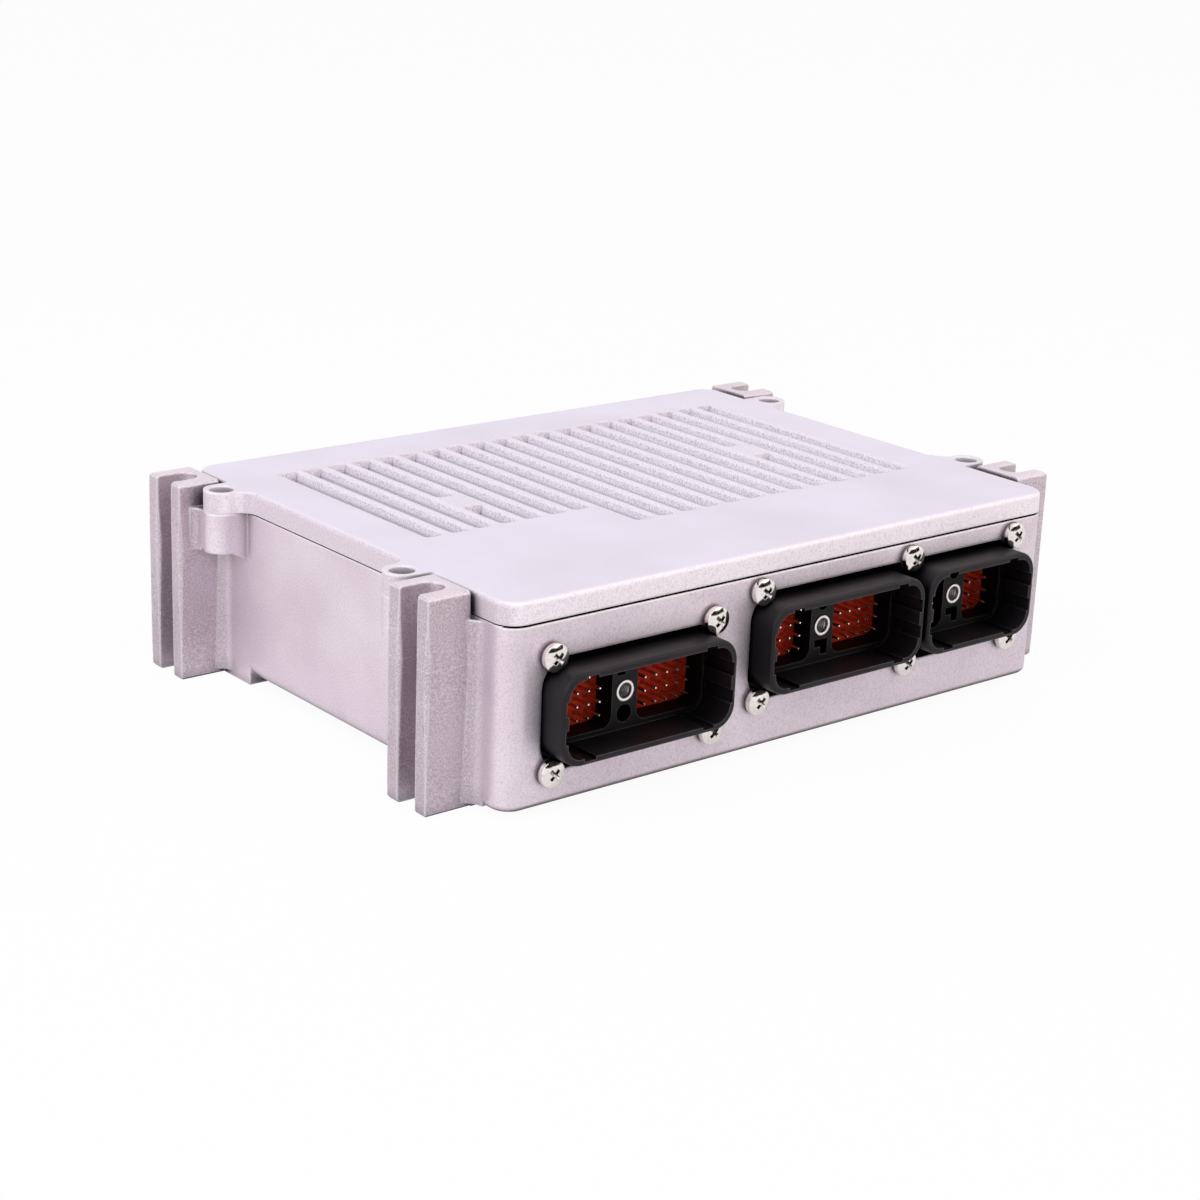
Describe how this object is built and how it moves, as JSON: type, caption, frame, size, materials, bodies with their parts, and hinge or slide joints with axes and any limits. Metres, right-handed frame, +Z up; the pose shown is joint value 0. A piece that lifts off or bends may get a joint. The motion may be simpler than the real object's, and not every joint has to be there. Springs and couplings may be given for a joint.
{
  "type": "engine control unit",
  "caption": "Die-cast aluminium engine control unit with a grooved lid, slotted corner columns and sealed plug headers in its front wall.",
  "frame": {"origin": "centre of the four mounting slots, on the plane the columns' feet stand on", "axes": "+X along the front wall to the right seen from the plug headers, +Y to the rear wall, +Z up from the feet to the lid; the plug headers face -Y"},
  "size_m": [0.245, 0.1715, 0.0624],
  "materials": {
    "cast_case": "die-cast, blasted, satin",
    "cast_lid": "die-cast, blasted, satin",
    "gasket_rubber": "matte black",
    "black_shell": "moulded, satin black",
    "red_seal": "moulded silicone, matte",
    "tinned_brass": "tin plated",
    "nickel_steel": "nickel plated, bright",
    "zinc_steel": "zinc plated",
    "board_laminate": "green solder mask",
    "chip_epoxy": "moulded epoxy",
    "capacitor_can": "drawn can"
  },
  "bodies": {
    "root": {"housing": "cast_case", "lid": "cast_lid", "lid_gasket": "gasket_rubber", "lid_screws": "zinc_steel", "plug_a_shell": "black_shell", "plug_a_gasket": "gasket_rubber", "plug_a_seal": "red_seal", "plug_a_contacts": "tinned_brass", "plug_a_nut": "nickel_steel", "plug_bc_shell": "black_shell", "plug_bc_gasket": "gasket_rubber", "plug_b_seal": "red_seal", "plug_b_contacts": "tinned_brass", "plug_b_nut": "nickel_steel", "plug_c_seal": "red_seal", "plug_c_contacts": "tinned_brass", "plug_c_nut": "nickel_steel", "plug_screws": "nickel_steel", "plug_washers": "zinc_steel", "circuit_board": "board_laminate", "board_screws": "zinc_steel", "processor": "chip_epoxy", "capacitors": "capacitor_can"}
  },
  "joints": []
}
